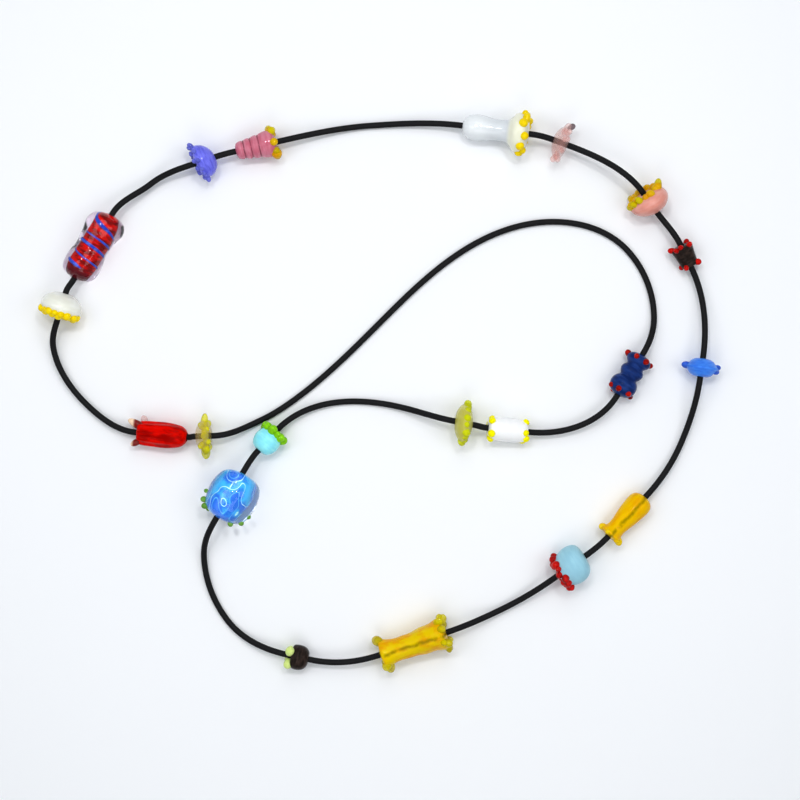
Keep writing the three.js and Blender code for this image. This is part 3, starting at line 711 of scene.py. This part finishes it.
# The cobalt bead was wound in three humps that run into each other, of opaque dark blue glass: a fat one, a
# middle one and a flared collar. It has small red nubs round both ends.
cobalt = Bead(
    "cobalt_lobed_bead", "cobalt_glass", place=(124, 7.5, 7.28),
    heading=58, pitch=-2, roll=20, length=23, diameter=13.8)
dark_cobalt = solid_glass(
    "dark_cobalt_glass", (0.01, 0.03, 0.14), (0.022, 0.06, 0.24), rough=0.15, shine=0.15)
cobalt.wound(
    "cobalt_glass",
    dark_cobalt,
    [(0, 0.36), (0.03, 0.66), (0.1, 0.9), (0.2, 1), (0.3, 0.98), (0.38, 0.84), (0.435, 0.66), (0.48, 0.74),
     (0.56, 0.86), (0.64, 0.82), (0.7, 0.66), (0.73, 0.66), (0.79, 0.84), (0.86, 0.94), (0.93, 0.84),
     (0.98, 0.6), (1, 0.36)],
    seed=15,
    steps=120,
)
dark_red = solid_glass("dark_red_glass", (0.5, 0.012, 0.006), (0.2, 0.006, 0.006), shine=0.2)
cobalt_dots = ring(6, 0.09, 0.9, 2.8, 1.1, -30, 20, seed=18) + ring(6, 0.9, 0.94, 2.8, 1.1, 25, 8, seed=19)
cobalt.nubs("cobalt_dots", dark_red, cobalt_dots)


# The clear yellow disc is nearly colourless glass with a petal of yellow drawn out of it here and there round
# the face where the cord comes in.
pale_disc = Bead(
    "clear_yellow_disc_bead", "pale_yellow_glass", place=(-88.4, -23, 9.31),
    heading=182, pitch=-2, roll=0, length=8, diameter=16)
straw = tinted_glass("straw_glass", (0.84, 0.62, 0.12), (0.86, 0.72, 0.4), stopped=0.3)
pale_disc.wound(
    "straw_wheel",
    straw,
    [(0, 0.3), (0.08, 0.6), (0.26, 0.88), (0.5, 1), (0.72, 0.9), (0.92, 0.6), (1, 0.3)],
    seed=16,
)
petal_yellow = tinted_glass("petal_yellow_glass", (0.9, 0.86, 0.0), (0.56, 0.54, 0.0), stopped=0.6, shine=0.5)
straw_petals = [
    (0.42, 0.98, 86, 3.6, 2, -8), (0.3, 0.6, 40, 3.4, 1.3, -40), (0.36, 0.52, 4, 4, 1.1, -20),
    (0.2, 0.66, -30, 3.2, 1.2, -50), (0.36, 0.88, -62, 4.4, 1.4, -20), (0.4, 0.98, -88, 4.6, 1.6, 0),
    (0.6, 0.8, -46, 3.2, 1.2, 30), (0.35, 0.95, 130, 3.8, 1.3, -12), (0.35, 0.95, 180, 3.8, 1.3, -12),
    (0.35, 0.95, 225, 3.8, 1.3, -12), (0.62, 0.78, 60, 2.8, 1.2, 20),
]
pale_disc.nubs("straw_petals", petal_yellow, straw_petals)


# The red tulip is clear red glass pressed into ribs along its length. Its far end opens into horns, drawn out
# of the red, whose tips fade to a pale orange, and into one pale clear nub.
tulip = Bead(
    "red_tulip_bead", "red_glass", place=(-109.4, -22.4, 6.73),
    heading=175, pitch=-5, roll=45, length=25, diameter=12.4)
tulip_red = tinted_glass(
    "tulip_red_glass", (0.78, 0.003, 0.0), (0.38, 0.001, 0.0), stopped=0.95, shine=0.12, stretch=(0.6, 2, 2))
tulip.wound(
    "red_tulip_glass",
    tulip_red,
    [(0, 0.34), (0.03, 0.56), (0.12, 0.84), (0.3, 0.98), (0.5, 1), (0.75, 0.95), (0.93, 0.9), (0.99, 0.76),
     (1, 0.5)],
    ribs=(9, 0.12),
    seed=17,
    around=108,
)
horn_red = Finish("horn_red_glass", Roughness=0.05, Specular_IOR_Level=0.3)
tips = horn_red.across("x").between(1.34, 1.5)
horn_red.feed("Base Color", horn_red.mix(tips, (0.22, 0.012, 0.008, 1), (0.95, 0.72, 0.52, 1)))
tulip_horns = [(1.0, 0.7, 20, 4.2, 2.6, 62), (1.0, 0.8, -118, 3.4, 1.9, 55), (0.99, 0.86, 150, 3, 1.8, 45)]
tulip.nubs("red_tulip_horns", horn_red, tulip_horns)
pale_nub = tinted_glass("pale_nub_glass", (0.85, 0.68, 0.66), (0.8, 0.55, 0.52), stopped=0.45)
tulip.nubs("red_tulip_clear_nub", pale_nub, [(0.9, 1.08, 52, 3.4, 1.4, 20)])


# The ivory dome is opaque off-white glass with a close ruffle of yellow dots round the flat face where the
# cord comes in.
dome = Bead(
    "ivory_dome_bead", "ivory_glass", place=(-158.6, 42.9, 10.51),
    heading=72, pitch=4, roll=0, length=10.5, diameter=20.4)
ivory = solid_glass("ivory_glass", (0.85, 0.86, 0.77), (0.89, 0.9, 0.84), milk=0.3)
dome.wound(
    "ivory_dome_glass",
    ivory,
    [(0, 0.38), (0.04, 0.76), (0.16, 0.95), (0.36, 1.01), (0.62, 0.92), (0.84, 0.7), (0.96, 0.47), (1, 0.3)],
    seed=18,
)
dome_ruffle = ring(17, 0.05, 0.88, 3.8, 1.05, -35, seed=22) + ring(13, -0.02, 0.72, 3.8, 1, -65, 8, seed=27)
dome.nubs("ivory_dome_ruffle", sunny_yellow, dome_ruffle)


# The cased spiral bead has a red core with a blue thread of glass wound on it in turns, all under a thick
# clear casing that is waisted and a little violet at its ends.
spiral = Bead(
    "cased_spiral_bead", "cased_red_glass", place=(-143.6, 71.3, 9.49),
    heading=59.5, pitch=0, roll=0, length=36, diameter=18.8, skew=-0.06)
casing = casing_glass("clear_casing_glass", (0.84, 0.78, 0.87), (0.68, 0.6, 0.73))
spiral.wound(
    "spiral_casing",
    casing,
    [(0, 0.3), (0.02, 0.58), (0.07, 0.86), (0.17, 1), (0.32, 0.95), (0.5, 0.85), (0.66, 0.91), (0.82, 1.01),
     (0.93, 0.88), (0.98, 0.6), (1, 0.3)],
    seed=19,
    wobble=0.06,
).visible_shadow = False
core_red = Finish("core_red_glass", Roughness=0.2, Specular_IOR_Level=0.05)
bands = core_red.noise(core_red.own((3, 1, 1)), 2.0, 3.0).between(0.42, 0.6)
reds = core_red.mix(bands, (0.7, 0.003, 0.0, 1), (0.22, 0.001, 0.001, 1))
past_dark_end = core_red.across("x").between(-1.45, -1.0)
core_red.feed("Base Color", core_red.mix(past_dark_end, (0.1, 0.004, 0.01, 1), reds))
spiral_waist = [(0.03, 0.22), (0.08, 0.4), (0.2, 0.47), (0.5, 0.5), (0.8, 0.5), (0.91, 0.38), (0.96, 0.22)]
spiral.wound("spiral_core", core_red, spiral_waist, hole=1.9, seed=20)
thread_blue = solid_glass("thread_blue_glass", (0.02, 0.06, 0.52), (0.05, 0.14, 0.74))


def wound_thread(
    bead, name, finish, waist, turns, thick, first, last, sway=0.0, around=10, steps=420, thinned=12
):
    """A thread of glass on a core: the core's outline, between two shares of its length, carried forwards
    while it goes round, with a flattened tube of that thickness drawn along it. Over the thinned steps at
    each end it thins to nothing. It runs ahead and falls back by sway, in radians, and swells and shrinks
    with it, as a hand lays it."""
    share = np.linspace(first, last, steps)
    reach = np.interp(share, *np.array(waist).T) * bead.radius
    angle = 2 * np.pi * turns * np.linspace(0, 1, steps)
    slow = np.sin(0.43 * angle + 1)
    angle = angle + sway * slow
    middle = np.stack([(share - 0.5) * bead.length, -reach * np.sin(angle), reach * np.cos(angle)], -1)
    ahead = np.gradient(middle, axis=0)
    ahead /= np.linalg.norm(ahead, axis=1)[:, None]
    out = middle * (0, 1, 1)
    out /= np.linalg.norm(out, axis=1)[:, None]
    side = np.cross(out, ahead)
    section = np.linspace(0, 2 * np.pi, around, endpoint=False)[None, :, None]
    ends = np.clip(np.minimum(np.arange(steps), np.arange(steps)[::-1]) / thinned, 0.02, 1)
    taper = (thick / 2 * ends * (1 + 0.5 * sway * slow))[:, None, None]
    local = middle[:, None] + taper * (np.cos(section) * side[:, None] + 0.6 * np.sin(section) * out[:, None])
    return bead.finished(grid_mesh(name, bead.laid(local), finish, wrap_rows=False), local)


wound_thread(
    spiral, "spiral_thread", thread_blue, spiral_waist, turns=-4.6, thick=1.3, first=0.16, last=0.9, sway=0.7)


# The periwinkle dome is satin violet-blue glass. Small nubs of a clearer glass of the same colour stand round
# its rim and on the face where the cord comes in.
periwinkle = Bead(
    "periwinkle_dome_bead", "periwinkle_glass", place=(-87.8, 114.4, 9.16),
    heading=19, pitch=-4, roll=0, length=10, diameter=17, skew=-0.1)
soft_violet = solid_glass(
    "soft_violet_glass", (0.22, 0.23, 0.88), (0.13, 0.14, 0.7), milk=0.15, rough=0.15, scale=2.6)
periwinkle.wound(
    "periwinkle_glass",
    soft_violet,
    [(0, 0.36), (0.04, 0.72), (0.16, 0.95), (0.38, 0.98), (0.68, 0.84), (0.9, 0.6), (1, 0.32)],
    seed=21,
    wobble=0.05,
)
violet_clear = tinted_glass("violet_clear_glass", (0.2, 0.22, 0.76), (0.12, 0.14, 0.6), stopped=0.8)
rim_nubs = ring(11, 0.16, 0.94, 2.4, 1.2, -20, seed=23) + ring(8, 0.02, 0.6, 2.4, 1.1, -70, seed=24)
rim_nubs += [
    (0.12, 1.06, -84, 2.6, 1.3, -30), (0.04, 0.94, -76, 2.4, 1.2, -50), (0.26, 1.1, 94, 2.4, 1.3, -10),
]
periwinkle.nubs("periwinkle_nubs", violet_clear, rim_nubs)


# The pink cone is dusty pink glass, wound so that grooves still show round its narrow end, with amber and
# olive nubs on its wide end. Threads of darker pink lie in the grooves as painted shade.
cone = Bead(
    "pink_cone_bead", "dusty_pink_glass", place=(-62.6, 121.3, 8.27),
    heading=13.5, pitch=-3, roll=0, length=20, diameter=13.2)
dusty_pink = solid_glass("dusty_pink_glass", (0.6, 0.17, 0.24), (0.68, 0.26, 0.34), milk=0.2)
coils = [
    (0, 0.4), (0.03, 0.58), (0.1, 0.68), (0.16, 0.71), (0.2, 0.62), (0.24, 0.73), (0.34, 0.79), (0.38, 0.69),
    (0.42, 0.81), (0.54, 0.89), (0.58, 0.79), (0.62, 0.91), (0.8, 1), (0.94, 0.9), (1, 0.5),
]
cone.wound("pink_cone_glass", dusty_pink, coils, seed=22, steps=150)
# The groove threads are painted shade: darker pink laid in the grooves, where the shade falls.
groove_shade_pink = solid_glass("groove_pink_glass", (0.36, 0.09, 0.14), (0.24, 0.07, 0.1))
for number, (along, out) in enumerate([(0.2, 0.66), (0.38, 0.73), (0.58, 0.83)]):
    level = [(0, out), (1, out)]
    wound_thread(
        cone, f"pink_cone_groove_shade_{number}", groove_shade_pink, level,
        turns=1.02, thick=0.6, first=along, last=along + 0.01)
cone_nubs = ring(5, 0.95, 0.95, 4.4, 1, 35, 20, seed=25)
cone.nubs("pink_cone_nubs", honey, cone_nubs)
olive_spots = [
    (0.9, 1.0, -84, 3.8, 1.2, 10), (0.97, 0.96, -58, 3.8, 1.1, 30), (0.96, 1.0, 82, 4, 1.2, 30),
    (0.97, 0.9, 56, 3.8, 1, 30),
]
cone.nubs("pink_cone_olive_nubs", olive_yellow, olive_spots)


# The cord is one closed loop of black rubber, 3 mm thick. It runs straight through every bead, and bends
# freely from one to the next, rising to the beads and sagging towards the table between them. A bare stop on
# its route is a place in millimetres, a heading and a climb in degrees.
ROUTE = [
    trumpet, pink_disc, peach, cup, lens, (150.4, -26.2, 3.5, -113, 0), vase, bell,
    (61, -109.6, 3.5, -154, 0), tube, button, (-77.8, -115.4, 1.5, 127, 0), (-89, -85, 3.6, 93, 8),
    big_blue, turquoise, (-14, -5.7, 1.5, 0, 0), (9.6, -8.6, 3.2, -13, 7), olive_disc, barrel, cobalt,
    (136.8, 37.4, 2.6, 91, -5), (124, 69.8, 1.5, 132, 0), (86.3, 84.6, 1.5, 180, 0), (40, 69.4, 1.5, 213, 0),
    (-0.5, 34.2, 1.5, 225, 0), (-41, -2.8, 1.5, 217, 0), (-60.8, -15.2, 1.5, 205, 0), pale_disc, tulip,
    (-146.6, -8.6, 3, 137, 0), (-164.2, 21, 5.4, 98, 12), dome, spiral, (-115.4, 103.1, 5.5, 38, 2),
    periwinkle, cone, (-6, 132.8, 2, 4, 0),
]


def cord_line(route, step=1.5):
    """The middle of the cord as a closed row of points: straight through each bead, and a cubic curve from
    each stop to the next, whose handles are as long as those of the arc that turns by the same angle."""
    stops = []
    for stop in route:
        if isinstance(stop, Bead):
            stops.append(stop.stops())
        else:
            heading, climb = np.radians(stop[3:])
            forward = (np.cos(heading) * np.cos(climb), np.sin(heading) * np.cos(climb), np.sin(climb))
            stops.append((np.array(stop[:3]), np.array(stop[:3]), np.array(forward)))
    pieces = []
    for (start, leave, forward), (arrive, _, ahead) in zip(stops, stops[1:] + stops[:1]):
        if not np.array_equal(start, leave):
            count = int(np.linalg.norm(leave - start) / step)
            pieces.append(start + np.linspace(0, 1, count, endpoint=False)[:, None] * (leave - start))
        chord = np.linalg.norm(arrive - leave)
        turn = max(np.arccos(np.clip(forward @ ahead, -1, 1)), 1e-3)
        handle = chord * (2 / 3) * np.tan(turn / 4) / np.sin(turn / 2)
        t = np.linspace(0, 1, int(chord / step) + 2, endpoint=False)[:, None]
        first, second = leave + handle * forward, arrive - handle * ahead
        curve = (1 - t) ** 3 * leave + 3 * (1 - t) ** 2 * t * first
        pieces.append(curve + 3 * (1 - t) * t**2 * second + t**3 * arrive)
    return np.concatenate(pieces)


def tube_points(line, radius, around):
    """Rings round a closed line that never runs upright, with each ring's sides level and square to it."""
    ahead = np.roll(line, -1, 0) - np.roll(line, 1, 0)
    ahead /= np.linalg.norm(ahead, axis=1)[:, None]
    side = np.cross((0, 0, 1), ahead)
    side /= np.linalg.norm(side, axis=1)[:, None]
    top = np.cross(ahead, side)
    angle = np.linspace(0, 2 * np.pi, around, endpoint=False)[None, :, None]
    return line[:, None] + radius * (np.cos(angle) * side[:, None] + np.sin(angle) * top[:, None])


rubber = Finish("black_rubber", Roughness=0.6, Specular_IOR_Level=0.2)
grime = rubber.noise(rubber.place(), 400.0, 3.0)
rubber.feed("Base Color", rubber.mix(grime, (0.005, 0.005, 0.006, 1), (0.012, 0.012, 0.014, 1)))
rubber.bump(grime, 0.2, 0.0002)
cord = grid_mesh("rubber_cord_loop", tube_points(cord_line(ROUTE), CORD_RADIUS, around=20), rubber)
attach(cord, "root")
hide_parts("rubber_cord")
